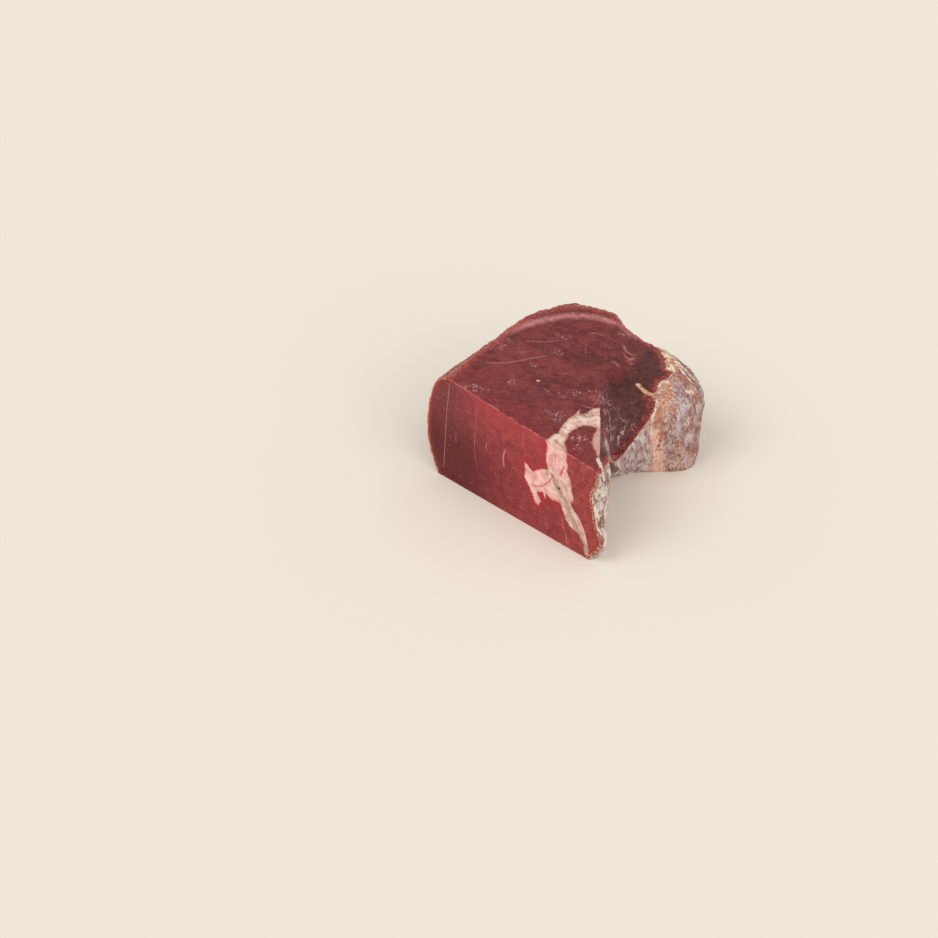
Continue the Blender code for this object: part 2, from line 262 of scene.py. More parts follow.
# Thin ridges and streaks of the rear lobe's skin, as lines in space by colour
CREAM_STREAKS = (
    ((-56, 133.5, 62.3), (-45, 130, 62.5), (-37, 127.6, 61.7), (-30, 126, 61.5), (-24, 125.5, 58)),
    ((-33, 123.7, 62.3), (-25, 121, 60.7), (-21, 122.3, 56.7)),
    ((-24.4, 89.2, 59.3), (-21.7, 85, 56.2), (-20.5, 82, 49.8), (-21.5, 83, 42.4), (-22, 84.8, 34.8)),
    ((-31.2, 99.3, 61.9), (-32, 104.5, 62.2), (-28.6, 107, 62.6)),
    ((-19.5, 112, 57.6), (-17.7, 114.7, 56.6), (-16.5, 117.5, 55)),
)
ORANGE_STREAKS = (
    ((-52, 135.7, 59.9), (-39.4, 126, 62.6), (-33.7, 121.7, 62.9)),
    ((-19, 85.6, 52.9), (-18.7, 87.7, 44.6), (-18.5, 90.3, 37), (-20.8, 91.1, 27.8), (-21.6, 91.1, 23)),
    ((-26.7, 92.6, 60.8), (-23.9, 96, 60.4), (-23.6, 102.7, 60.6)),
)
BROWN_STREAKS = (
    ((-38, 130, 62.4), (-30, 127.3, 60.8), (-21.8, 124.6, 57.3)),
    ((-17.5, 92, 38), (-17.3, 93, 34), (-17.5, 93.5, 30)),
)
# The line of white mould where the crease's wall meets the skin
FOAM_LINE = ((-33.9, 61.4, 26.2), (-30.8, 67.1, 29.7), (-27.7, 70, 34.1), (-25.3, 72.2, 38.5))
# Two loose strings: at the fat seam's right end, and in the fold on the rear lobe
SEAM_STRING = ((-2.5, 9.8, 66.9), (1.7, 6.8, 66.5), (5.5, 4.3, 64.6), (5.1, 7.0, 57.3))
FOLD_STRING = ((-42, 93, 60.9), (-36.7, 91.6, 60.3), (-32.3, 91.3, 59.9), (-28.5, 91.8, 60))
# A field says this, in millimetres, where it has nothing to tell
FAR = 30.0
# Fine relief, as rows of depth and grain size, coarse first
FRONT_GRAINS = ((0.07, 5.0), (0.04, 1.7))
TOP_GRAINS = ((0.3, 9.0), (0.16, 3.6), (0.07, 1.5))
SKIN_GRAINS = ((0.28, 2.4), (0.14, 1.1))
FAT_RISE_ON_TOP = 0.35
FAT_SINK_IN_FRONT = 0.2
WRINKLE_DEPTH = 0.35
WRINKLE_SIZE = 3.6
SKIN_CREASE_DEPTH = 0.4
SKIN_CREASE_SIZE = 7.0
LIP_RISE = 0.35
LIP_GRAINS = ((0.4, 2.2),)
STREAK_DEPTH = 0.7
STREAK_SIZE = (3.2, 3.2, 13.0)
# What stands up or sinks along a line or at a spot: its field, its height and its half width
RIDGES = (
    ("seam_pit", -1.1, 0.9),
    ("top_pit", -1.2, 3.0),
    ("curl_one", 0.7, 1.1),
    ("curl_two", 0.7, 1.1),
    ("curl_three", 0.7, 1.1),
    ("fold_string", 0.9, 1.5),
    ("seam_string", 0.5, 1.2),
)


def smooth(low, high, value):
    """0 below low and 1 above high, with an even S between them."""
    share = np.clip((value - low) / (high - low), 0.0, 1.0)
    return share * share * (3.0 - 2.0 * share)


def spline(rows, steps):
    """A Catmull-Rom curve through the rows, with its two ends kept."""
    rows = np.asarray(rows, float)
    padded = np.vstack([2 * rows[0] - rows[1], rows, 2 * rows[-1] - rows[-2]])
    points = []
    for index in range(len(rows) - 1):
        before, start, end, after = padded[index : index + 4]
        for step in range(steps):
            t = step / steps
            bend = 2 * before - 5 * start + 4 * end - after
            cubic = 3 * start - before - 3 * end + after
            points.append(start + 0.5 * ((end - before) * t + bend * t**2 + cubic * t**3))
    return np.vstack([points, rows[-1]])


def along(curve):
    """The distance along a plan curve at each of its points."""
    return np.concatenate([[0.0], np.cumsum(np.hypot(*np.diff(curve[:, :2], axis=0).T))])


def signed_distance(x, y, line):
    """Distance to a line of points, above 0 on the right of its run."""
    nearest = np.full(np.shape(x), 1e9)
    side = np.ones(np.shape(x))
    for (ax, ay), (bx, by) in zip(line[:-1], line[1:]):
        run_x, run_y = bx - ax, by - ay
        share = np.clip(((x - ax) * run_x + (y - ay) * run_y) / (run_x**2 + run_y**2), 0, 1)
        off_x, off_y = x - ax - share * run_x, y - ay - share * run_y
        distance = np.hypot(off_x, off_y)
        closer = distance < nearest
        nearest = np.where(closer, distance, nearest)
        side = np.where(closer, np.where(run_x * off_y - run_y * off_x < 0, 1.0, -1.0), side)
    return nearest * side


def inside(x, y, ring):
    """True for the points within a closed ring."""
    found = np.zeros(np.shape(x), bool)
    for (ax, ay), (bx, by) in zip(ring, np.roll(ring, -1, axis=0)):
        if ay != by:
            found ^= ((ay > y) != (by > y)) & (x < (bx - ax) * (y - ay) / (by - ay) + ax)
    return found


def area_depth(x, y, ring):
    """How far a point lies inside a closed ring: below 0 outside it."""
    ring = np.asarray(ring, float)
    distance = np.abs(signed_distance(x, y, np.vstack([ring, ring[:1]])))
    return np.where(inside(x, y, ring), distance, -distance)


def space_distance(points, line):
    """Distance from points in space to a line of points in space."""
    nearest = np.full(len(points), 1e9)
    line = np.asarray(line, float)
    for start, end in zip(line[:-1], line[1:]):
        run = end - start
        share = np.clip((points - start) @ run / (run @ run), 0, 1)
        nearest = np.minimum(nearest, np.linalg.norm(points - start - share[:, None] * run, axis=1))
    return nearest


def top_height(x, y):
    """The height of the top over a plan point: the cut top, the rear lobe's lower top and the crease."""
    cut = TOP_HEIGHT + TOP_RISE_LEFT * (FRONT_RIGHT_X - x) - TOP_FALL_BACK * y
    from_crease = np.hypot(x - CREASE_AT[0], y - CREASE_AT[1])
    hollow = np.exp(-((np.maximum(0.0, from_crease - CREASE_FLOOR) / CREASE_SPREAD) ** 2))
    lobe = LOBE_HEIGHT - CREASE_DEPTH * hollow
    past_step = signed_distance(x, y, spline(STEP_LINE, 3)) / (1 + from_crease / STEP_EASE)
    return cut + (lobe - cut) * smooth(*STEP_EDGES, past_step)


def step_points(step):
    """Rows of plan points that follow the steep part of the step."""
    line = spline(STEP_LINE, 12)
    run = along(line)
    spaced = np.arange(0.0, run[-1], step)
    line = np.array([np.interp(spaced, run, axis) for axis in line.T]).T
    from_crease = np.hypot(*(line - CREASE_AT).T)
    ahead = np.gradient(line, axis=0)
    ahead /= np.hypot(*ahead.T)[:, None]
    right = np.stack([ahead[:, 1], -ahead[:, 0]], axis=1) * (1 + from_crease / STEP_EASE)[:, None]
    steep = from_crease < STEP_STEEP
    offsets = np.linspace(*STEP_EDGES, STEP_ROWS)
    return np.concatenate([(line + right * offset)[steep] for offset in offsets])


def columns(step):
    """The widest outline at even steps: its rows of sizes, the direction inward and the run along it."""
    curve = spline(list(STATIONS.values()), CURVE_STEPS)
    run = along(curve)
    spaced = np.linspace(0.0, run[-1], round(run[-1] / step) + 1)
    curve = np.array([np.interp(spaced, run, column) for column in curve.T]).T
    tangent = np.gradient(curve[:, :2], axis=0)
    reach = np.arange(-3 * NORMAL_WINDOW, 3 * NORMAL_WINDOW + step, step)
    weights = np.exp(-((reach / NORMAL_WINDOW) ** 2))
    tangent = np.array(
        [
            np.average(
                [np.interp(place + reach, spaced, tangent[:, axis]) for axis in (0, 1)],
                axis=1,
                weights=weights,
            )
            for place in spaced
        ]
    )
    inward = np.stack([-tangent[:, 1], tangent[:, 0]], axis=1)
    inward /= np.hypot(*inward.T)[:, None]
    at_start = 1 - smooth(0.0, CORNER_TURN, spaced)[:, None]
    at_end = 1 - smooth(0.0, CORNER_TURN, run[-1] - spaced)[:, None]
    inward = inward * (1 - at_start - at_end) + at_start * [-1.0, 0.0] + at_end * [1.0, 0.0]
    inward /= np.hypot(*inward.T)[:, None]
    return curve, inward, spaced


def bulge(size, middle, span, reach, z, run):
    """How far the side swells at heights near the middle one, fading along its run."""
    return size * np.exp(-(((z - middle) / span) ** 2)) * (1 - smooth(0, reach, run))


def wall(step):
    """The side as a grid of points, from the foot up to the top edge, row by row."""
    curve, inward, run = columns(step)
    foot, shoulder, widest = curve[:, 2], curve[:, 3], curve[:, 4]
    edge = curve[:, :2] + inward * shoulder[:, None]
    height = top_height(edge[:, 0], edge[:, 1])
    belly = widest * height
    rounding = np.hypot(height - belly, shoulder) * math.pi / math.sqrt(8)
    split = belly / (belly + rounding)
    rows = round(float(height.max()) / step)
    grid = []
    for row in range(rows + 1):
        share = row / rows
        below = np.clip(share / split, 0, 1)
        turn = np.clip((share - split) / (1 - split), 0, 1) * math.pi / 2
        z = belly * below + (height - belly) * np.sin(turn)
        inset = foot * (1 - below) ** FOOT_CURVE + shoulder * (1 - np.cos(turn))
        toe = bulge(TOE_SWELL, TOE_HEIGHT, TOE_SPAN, TOE_REACH, z, run)
        waist = bulge(WAIST_DRAW, WAIST_HEIGHT, WAIST_SPAN, WAIST_REACH, z, run)
        plan = curve[:, :2] + inward * (inset - toe + waist)[:, None]
        grid.append(np.column_stack([plan, z]))
    return np.array(grid), run


def skin_offset(point, down_share):
    """How far the dried skin stands out at a point: long folds that run down the side, and lumps."""
    folds = noise.noise(Vector((point[0], point[1], point[2] * FOLD_STRETCH)) / FOLD_LENGTH)
    lumps = noise.noise(Vector(point) / LUMP_SIZE + Vector(LUMP_SHIFT))
    return (FOLD_DEPTH * folds + LUMP_DEPTH * lumps) * down_share


def roughen_wall(grid, run):
    """Gives the side its folds and lumps. They fade out at the foot, at the top edge and at the front cut."""
    rows = len(grid)
    fade_front = smooth(0, SKIN_FADE, run) * smooth(0, SKIN_FADE, run[-1] - run)
    rough = grid.copy()
    for row in range(1, rows - 1):
        tangent = np.gradient(grid[row], axis=0)
        rise = grid[row + 1] - grid[row - 1]
        outward = np.cross(tangent, rise)
        outward /= np.linalg.norm(outward, axis=1)[:, None]
        top_gap = SIDE_STEP * (rows - 1 - row)
        fade_row = smooth(0, 2 * SKIN_FADE, grid[row][:, 2]) * min(1.0, top_gap / (2 * SKIN_FADE))
        for column, point in enumerate(grid[row]):
            lift = skin_offset(point, fade_front[column] * fade_row[column])
            rough[row, column] = point + outward[column] * lift
    return rough


def inner_points(ring, step, guides=None):
    """Points inside a closed ring and clear of its edge: the guides, and an even triangle grid round them."""
    low, high = ring.min(axis=0), ring.max(axis=0)
    rise = step * math.sqrt(3) / 2
    grid = [
        (low[0] + step * (column + 0.5 * (row % 2)), low[1] + rise * row)
        for row in range(1, int((high[1] - low[1]) / rise) + 1)
        for column in range(int((high[0] - low[0]) / step) + 1)
    ]
    grid = np.array(grid)
    if guides is not None:
        tree = kdtree.KDTree(len(guides))
        for index, guide in enumerate(guides):
            tree.insert((guide[0], guide[1], 0.0), index)
        tree.balance()
        gaps = np.array([tree.find((x, y, 0.0))[2] for x, y in grid])
        grid = np.vstack([guides, grid[gaps > POINT_GAP * step]])
    grid = grid[inside(grid[:, 0], grid[:, 1], ring)]
    from_edge = np.abs(signed_distance(grid[:, 0], grid[:, 1], np.vstack([ring, ring[:1]])))
    return grid[from_edge > POINT_GAP * step]


def fill(ring, inner):
    """Triangles that fill a closed ring of plan points with the inner points, as indices into both."""
    count = len(ring)
    points = [Vector(point) for point in np.vstack([ring, inner])]
    edges = [(index, (index + 1) % count) for index in range(count)]
    _, _, faces, origins, _, _ = delaunay_2d_cdt(points, edges, [], 1, 1e-7)
    return [[origins[corner][0] for corner in face] for face in faces]


class Form:
    """The block's fine mesh: its points, its faces, and which part of the surface each belongs to."""

    def __init__(self):
        grid, run = wall(SIDE_STEP)
        self.grid = roughen_wall(grid, run)
        self.rows, self.count, _ = self.grid.shape
        self.points = [tuple(point) for point in self.grid.reshape(-1, 3)]
        self.faces = []
        self.parts = []
        for row in range(self.rows - 1):
            for column in range(self.count - 1):
                low = row * self.count + column
                self.faces.append((low, low + 1, low + 1 + self.count, low + self.count))
                self.parts.append("side")
        foot_row = list(range(self.count))
        top_row = [(self.rows - 1) * self.count + column for column in range(self.count)]
        right_column = [row * self.count for row in range(self.rows)]
        left_column = [row * self.count + self.count - 1 for row in range(self.rows)]
        top_line = self.add_line(self.grid[-1, -1], self.grid[-1, 0], lambda x: float(top_height(x, 0.0)))
        foot_line = self.add_line(self.grid[0, -1], self.grid[0, 0], lambda x: 0.0)
        self.top_edge = [left_column[-1]] + top_line + [right_column[-1]]
        self.add_cap("top", top_row + top_line, (0, 1), TOP_STEP, self.place_top, step_points(TOP_STEP))
        self.add_cap("foot", foot_row + foot_line, (0, 1), BOTTOM_STEP, self.place_foot)
        front_ring = foot_line + right_column + top_line[::-1] + left_column[::-1]
        self.add_cap("front", front_ring, (0, 2), FRONT_STEP, self.place_front)
        self.points = np.array(self.points)

    def add_line(self, start, end, height_of):
        """Adds the points between two corners of the front cut, and gives their indices."""
        pieces = round(abs(end[0] - start[0]) / FRONT_STEP)
        first = len(self.points)
        for piece in range(1, pieces):
            x = start[0] + (end[0] - start[0]) * piece / pieces
            self.points.append((x, 0.0, height_of(x)))
        return list(range(first, len(self.points)))

    def add_cap(self, part, ring, plane, step, place, guides=None):
        """Fills a closed ring of vertices, seen in the given plane, with an even net of triangles."""
        flat = np.array([[self.points[index][axis] for axis in plane] for index in ring])
        inner = inner_points(flat, step, guides)
        first = len(self.points)
        self.points.extend(place(inner, flat))
        index_of = list(ring) + list(range(first, first + len(inner)))
        for face in fill(flat, inner):
            corners = [index_of[corner] for corner in face]
            self.faces.append(tuple(reversed(corners)) if part == "foot" else tuple(corners))
            self.parts.append(part)

    @staticmethod
    def place_top(inner, ring):
        heights = top_height(inner[:, 0], inner[:, 1])
        closed = np.vstack([ring, ring[:1]])
        fade = smooth(0.0, 2 * SKIN_FADE, np.abs(signed_distance(inner[:, 0], inner[:, 1], closed)))
        waves = [noise.noise(Vector((x / TOP_WAVE_SIZE, y / TOP_WAVE_SIZE, 0.5))) for x, y in inner]
        return [(x, y, z) for (x, y), z in zip(inner, heights + TOP_WAVE_DEPTH * np.array(waves) * fade)]

    @staticmethod
    def place_foot(inner, _):
        return [(x, y, 0.0) for x, y in inner]

    @staticmethod
    def place_front(inner, _):
        return [(x, 0.0, z) for x, z in inner]


def line_fields(x, y, points):
    """The offset from a line that runs on past its ends, and 1 between its ends, fading to 0 beyond them."""
    curve = spline(points, 6)
    before = curve[0] + (curve[0] - curve[1]) * 400
    after = curve[-1] + (curve[-1] - curve[-2]) * 400
    offset = signed_distance(x, y, np.vstack([before, curve, after]))
    direction = curve[-1] - curve[0]
    length = np.hypot(*direction)
    share = ((x - curve[0][0]) * direction[0] + (y - curve[0][1]) * direction[1]) / length
    ease = min(4.0, length * 0.3)
    window = smooth(-0.5, ease, share) * smooth(-0.5, ease, length - share)
    return offset, window


def surface_fields(form):
    """Everything that the material reads, worked out at each vertex in millimetres."""
    points = form.points
    x, y, z = points.T
    used = {name: np.zeros(len(points), bool) for name in ("side", "top", "foot", "front")}
    for face, part in zip(form.faces, form.parts):
        for corner in face:
            used[part][corner] = True
    top, front, side = used["top"], used["front"], used["side"] | used["foot"]
    fields = {}

    fat = np.full(len(points), -FAR)
    only_front = front & ~top
    fat[only_front] = area_depth(x[only_front], z[only_front], FAT_FRONT)
    fat[top] = area_depth(x[top], y[top], FAT_TOP)
    fields["fat"] = np.maximum(fat, -FAR)
    core = np.abs(signed_distance(x, z, spline(SEAM_CORE, 4)))
    fields["seam_core"] = np.where(front, core, FAR)

    edge = points[form.top_edge]
    edge_height = np.interp(x, edge[:, 0], edge[:, 2])
    fields["below_edge"] = np.where(front, edge_height - z, 60.0)
    fields["behind_edge"] = np.where(top, y, 60.0)
    fields["behind_front"] = np.where(side, y, 60.0)

    # Dried skin: above 0 outside the cut's end, growing down the side
    ring = form.grid[-1][:, :2]
    skin_ring = area_depth(ring[:, 0], ring[:, 1], skin_outline(ring))
    steps = np.linalg.norm(np.diff(form.grid, axis=0), axis=2)
    drop = np.vstack([np.cumsum(steps[::-1], axis=0)[::-1], np.zeros((1, form.count))])
    flank = smooth(*FLANK_START, ring[:, 1]) * (1 - smooth(*FLANK_END, ring[:, 1]))
    flank *= ring[:, 0] > FLANK_FROM_X
    flank *= [1 + FLANK_WAVE * noise.noise(Vector((*place, 3.0)) / FLANK_WAVE_SIZE) for place in ring]
    on_grid = slice(form.rows * form.count)
    skin = np.full(len(points), 20.0)
    skin[on_grid] = (drop - skin_ring - FLANK_CUT * flank).ravel()
    fields["flank"] = np.zeros(len(points))
    fields["flank"][on_grid] = np.tile(flank, form.rows)
    skin[top] = -area_depth(x[top], y[top], skin_outline(ring))
    only = only_front & ~side
    to_ends = [np.abs(signed_distance(x[only], z[only], form.grid[:, end][:, [0, 2]])) for end in (0, -1)]
    skin[only] = -np.minimum(*to_ends)
    fields["skin"] = skin

    # The grey bloom covers the right side and the rear lobe. The left and the back stay red-brown.
    fields["bloom"] = smooth(*BLOOM_FROM_X, x + BLOOM_LEAN * (y - BLOOM_MIDDLE_Y))
    fields["dark"] = np.where(top | used["side"], area_depth(x, y, DARK_AREA), -20.0)
    # Distance to the pale membrane band with its painted sheen
    fields["milky"] = np.where(top | used["side"], np.abs(signed_distance(x, y, spline(MEMBRANE_SHEEN_BAND, 4))), 40.0)
    fields["crease"] = np.hypot(x - CREASE_AT[0], y - CREASE_AT[1])

    # White crystal clusters on the top, partly painted glints
    crystal = np.zeros(len(points))
    for cx, cy, radius in CRYSTALS_AND_GLINTS:
        crystal = np.maximum(crystal, 1 - np.hypot(x - cx, y - cy) / (CRYSTAL_AND_GLINT_SPREAD * radius))
    fields["crystal"] = np.where(top, crystal, 0.0)
    fields["crumb"] = np.where(top, 1 - np.hypot(x - CRUMB[0], y - CRUMB[1]) / CRUMB[2], -1.0)
    fields["seam_pit"] = np.where(front, np.hypot(x - SEAM_PIT[0], z - SEAM_PIT[1]), FAR)
    fields["top_pit"] = np.where(top, np.hypot(x - TOP_PIT[0], y - TOP_PIT[1]), FAR)
    for name, lines in (
        ("creamy", CREAM_STREAKS),
        ("rusty", ORANGE_STREAKS),
        ("brown", BROWN_STREAKS),
        ("seam_string", (SEAM_STRING,)),
        ("foam", (FOAM_LINE,)),
        ("fold_string", (FOLD_STRING,)),
        ("pocket", (POCKET,)),
    ):
        fields[name] = np.minimum(np.min([space_distance(points, line) for line in lines], axis=0), FAR)
    fields["cream_patch"] = np.where(top | side, area_depth(x, y, CREAM_PATCH), -20.0)
    for name, spots in (("lilac", LILAC_SPOTS), ("orange", ORANGE_SPOTS), ("red", RED_SPOTS)):
        near = np.full(len(points), -3.0)
        for spot in spots:
            near = np.maximum(near, 1 - np.linalg.norm(points - spot[:3], axis=1) / spot[3])
        fields[name] = near
    on_right = smooth(*STRIP_FROM_X, x)
    along_side = y + STRIP_LEAN * z
    for name, (low, high, top_end) in (("salmon", SALMON_STRIP), ("grey", GREY_STRIP)):
        strip = smooth(low - 2, low + 2, along_side) * (1 - smooth(high - 2, high + 2, along_side))
        fields[name] = strip * (1 - smooth(top_end - 8, top_end + 6, z)) * on_right

    for group, across, up, where in (
        (FRONT_LINES, x, z, front),
        (FAT_VEINS, x, z, front),
        (TOP_LINES, x, y, top),
    ):
        for name, (line, _, _) in group.items():
            offset, window = line_fields(across, up, line)
            fields[name] = offset
            fields[name + "_on"] = np.where(where, window, 0.0)
    return fields, used


def skin_outline(ring):
    """The closed outline of the cut top: the skin's edge at the right, then the side's top edge."""
    end = np.argmin(np.hypot(*(ring - SKIN_EDGE[-1]).T))
    before = [(ring[-1][0], -60.0), (SKIN_EDGE[0][0], -60.0)]
    return np.vstack([before, SKIN_EDGE, ring[end:]])


def vertex_normals(points, faces):
    """Unit normals, as the mean of the faces round each vertex."""
    normals = np.zeros_like(points)
    for size, across, up in ((3, (0, 1), (0, 2)), (4, (0, 2), (1, 3))):
        group = np.array([face for face in faces if len(face) == size])
        spans = [points[group[:, end]] - points[group[:, start]] for start, end in (across, up)]
        normal = np.cross(*spans)
        for corner in range(size):
            np.add.at(normals, group[:, corner], normal)
    return normals / np.maximum(np.linalg.norm(normals, axis=1), 1e-9)[:, None]


def ridged(point, size, seed):
    """Creases between lumps: 1 on a crease's line and 0 between them."""
    return 1 - min(1.0, abs(noise.noise(Vector(point) / size + Vector((seed, 0, 0)))) * 3)


def grains(place, rows):
    """The sum of several noises, each with its own depth and grain size."""
    return sum(depth * noise.noise(place / size) for depth, size in rows)


def fine_relief(form, fields, used):
    """Lifts each vertex along its normal: the skin's wrinkles, the dried top's waves and the seam's edges."""
    points = form.points
    normals = vertex_normals(points, form.faces)
    lift = np.zeros(len(points))
    for index, point in enumerate(points):
        if point[2] < 0.01:
            continue
        place = Vector(point)
        if used["front"][index] and not used["top"][index] and not used["side"][index]:
            lift[index] = grains(place, FRONT_GRAINS)
            continue
        if used["top"][index] and not used["side"][index]:
            lift[index] = grains(place, TOP_GRAINS)
            wrinkle = smooth(0.0, 4.0, fields["dark"][index])
            skinned = smooth(-1.0, 1.5, fields["skin"][index])
            drawn = (point[0] * 0.5 + point[1] * 0.35, point[1] * 0.9 - point[0] * 0.3, point[2] * 0.5)
            lift[index] += float(wrinkle) * WRINKLE_DEPTH * (0.5 - ridged(drawn, WRINKLE_SIZE, 5.0))
            lift[index] += float(skinned) * (LIP_RISE + grains(place, LIP_GRAINS))
            continue
        streaks = STREAK_DEPTH * noise.noise(Vector(point / STREAK_SIZE))
        creases = SKIN_CREASE_DEPTH * (0.4 - ridged(point, SKIN_CREASE_SIZE, 2.0))
        foot_fade = float(smooth(0.0, 3.0, point[2]))
        lift[index] = (streaks + grains(place, SKIN_GRAINS) + creases) * foot_fade
    lift += FAT_RISE_ON_TOP * smooth(-0.8, 0.8, fields["fat"]) * used["top"] * ~used["front"]
    lift -= FAT_SINK_IN_FRONT * smooth(-0.4, 0.6, fields["fat"]) * used["front"] * ~used["top"]
    for name, height, spread in RIDGES:
        lift += height * np.exp(-((fields[name] / spread) ** 2)) * fields.get(name + "_on", 1.0)
    lift[points[:, 2] < 0.01] = 0.0
    moved = points + normals * lift[:, None]
    moved[:, 2] = np.maximum(moved[:, 2], 0.0)
    return moved


# Texture islands, in millimetres of surface: the low corner, the scale and the axis that runs up it
UV_SIZE = 312.0
UV_ISLANDS = {
    "top": ((2.0, 2.0), 1.0, 1),
    "front": ((160.0, 2.0), 1.0, 2),
    "foot": ((160.0, 82.0), 0.45, 1),
}
# The low corners of the side's three strips
UV_STRIPS = ((2.0, 148.0), (157.0, 148.0), (2.0, 232.0))
UV_STRIP_HEIGHT = 78.0


def unwrap(mesh, form):
    """A texture layout of six islands: the top, the front, the foot and the side in three strips."""
    low = form.points.min(axis=0)
    layer = mesh.uv_layers.new(name="OFBake")
    strip = (form.count - 1) / len(UV_STRIPS)
    coords = []
    for face, part in zip(form.faces, form.parts):
        if part == "side":
            column = face[0] % form.count
            base = UV_STRIPS[min(int(column / strip), len(UV_STRIPS) - 1)]
            first = int(column / strip) * strip
        for corner in face:
            if part == "side":
                row, column = divmod(corner, form.count)
                offset = ((column - first) * SIDE_STEP, row / (form.rows - 1) * UV_STRIP_HEIGHT)
            else:
                base, scale, up = UV_ISLANDS[part]
                offset = [(form.points[corner][axis] - low[axis]) * scale for axis in (0, up)]
            coords += [(start + move) / UV_SIZE for start, move in zip(base, offset)]
    layer.data.foreach_set("uv", coords)


def srgb(*levels):
    """A colour given as screen values from 0 to 255, as the linear values that the shader takes."""
    return (*(((level / 255 + 0.055) / 1.055) ** 2.4 for level in levels), 1.0)


class Graph:
    """Makes shader nodes. A value is a number, a colour, the name of a field or another node's output."""

    def __init__(self, tree):
        self.tree = tree

    def node(self, kind, **settings):
        made = self.tree.nodes.new(kind)
        for name, value in settings.items():
            setattr(made, name, value)
        return made

    def put(self, socket, value):
        if isinstance(value, str):
            value = self.field(value)
        if isinstance(value, bpy.types.NodeSocket):
            self.tree.links.new(value, socket)
        else:
            socket.default_value = value

    def field(self, name, output="Fac"):
        return self.node("ShaderNodeAttribute", attribute_name=name).outputs[output]

    def math(self, operation, *values):
        made = self.node("ShaderNodeMath", operation=operation)
        for socket, value in zip(made.inputs, values):
            self.put(socket, value)
        return made.outputs[0]

    def product(self, *values):
        result = values[0]
        for value in values[1:]:
            result = self.math("MULTIPLY", result, value)
        return result

    def add(self, *values):
        result = values[0]
        for value in values[1:]:
            result = self.math("ADD", result, value)
        return result

    def rest_of(self, value):
        """What the value lacks of 1."""
        return self.math("SUBTRACT", 1.0, value)

    def swing(self, value, reach=1.0):
        """A noise from 0 to 1, moved to swing round 0 and stretched to a reach in millimetres."""
        centred = self.math("SUBTRACT", value, 0.5)
        return centred if reach == 1.0 else self.product(centred, reach)

    def axes(self, place):
        """The place's x, y and z."""
        split = self.node("ShaderNodeSeparateXYZ")
        self.put(split.inputs[0], place)
        return split.outputs[0], split.outputs[1], split.outputs[2]

    def step(self, value, low, high):
        """0 at low and 1 at high, with an even S between them. It falls where low is above high."""
        made = self.node("ShaderNodeMapRange", interpolation_type="SMOOTHSTEP")
        ends = (low, high, 0.0, 1.0) if low < high else (high, low, 1.0, 0.0)
        self.put(made.inputs["Value"], value)
        for name, end in zip(("From Min", "From Max", "To Min", "To Max"), ends):
            made.inputs[name].default_value = end
        return made.outputs["Result"]

    def edge(self, name, wave, reach, low, high):
        """A field's step from low to high, with its edge made ragged by a noise."""
        return self.step(self.add(name, self.swing(wave, reach)), low, high)

    def noise(self, place, size, detail=3.0, roughness=0.5, distortion=0.0):
        made = self.node("ShaderNodeTexNoise", noise_dimensions="3D")
        self.put(made.inputs["Vector"], place)
        names = ("Scale", "Detail", "Roughness", "Distortion")
        for name, value in zip(names, (1.0 / size, detail, roughness, distortion)):
            made.inputs[name].default_value = value
        return made.outputs["Fac"]

    def cells(self, place, size):
        made = self.node("ShaderNodeTexVoronoi", feature="F1")
        self.put(made.inputs["Vector"], place)
        made.inputs["Scale"].default_value = 1.0 / size
        return made.outputs["Distance"]

    def turned(self, place, scale, angles=(0.0, 0.0, 0.0), shift=(0.0, 0.0, 0.0)):
        """The place turned by angles in degrees and then stretched."""
        turn = self.node("ShaderNodeMapping", vector_type="POINT")
        self.put(turn.inputs["Vector"], place)
        turn.inputs["Rotation"].default_value = [math.radians(angle) for angle in angles]
        turn.inputs["Location"].default_value = shift
        size = self.node("ShaderNodeMapping", vector_type="POINT")
        self.put(size.inputs["Vector"], turn.outputs[0])
        size.inputs["Scale"].default_value = scale
        return size.outputs[0]

    def mix(self, share, first, second):
        made = self.node("ShaderNodeMix", data_type="RGBA")
        self.put(made.inputs["Factor"], share)
        self.put(made.inputs[6], first)
        self.put(made.inputs[7], second)
        return made.outputs[2]

    def tones(self, value, low, high, first, second):
        """Two shades that change over from the first at low to the second at high."""
        return self.mix(self.step(value, low, high), srgb(*first), srgb(*second))

    def lay(self, colour, shade, *shares):
        """The colour with a shade laid over it, as strongly as the product of the shares."""
        shade = srgb(*shade) if isinstance(shade, tuple) else shade
        return self.mix(self.product(*shares), colour, shade)

    def layers(self, colour, *rows):
        """Shades laid over the colour in turn, as rows of value, start, full, share and shade."""
        for value, low, high, share, shade in rows:
            colour = self.lay(colour, shade, self.step(value, low, high), share)
        return colour

    def tint(self, colour, by):
        made = self.node("ShaderNodeMix", data_type="RGBA", blend_type="MULTIPLY")
        made.inputs["Factor"].default_value = 1.0
        self.put(made.inputs[6], colour)
        self.put(made.inputs[7], by)
        return made.outputs[2]

    def blend(self, share, first, second):
        made = self.node("ShaderNodeMix", data_type="FLOAT")
        self.put(made.inputs["Factor"], share)
        self.put(made.inputs[2], first)
        self.put(made.inputs[3], second)
        return made.outputs[0]

    def line(self, name, width, strength, wobble):
        """How strongly a thin line shows: its offset field, thinned and broken by the wobble noise."""
        away = self.math("SUBTRACT", self.math("ABSOLUTE", name), self.product(wobble, width * 0.8))
        core = self.step(away, width * 0.7, 0.0)
        return self.product(core, name + "_on", strength)


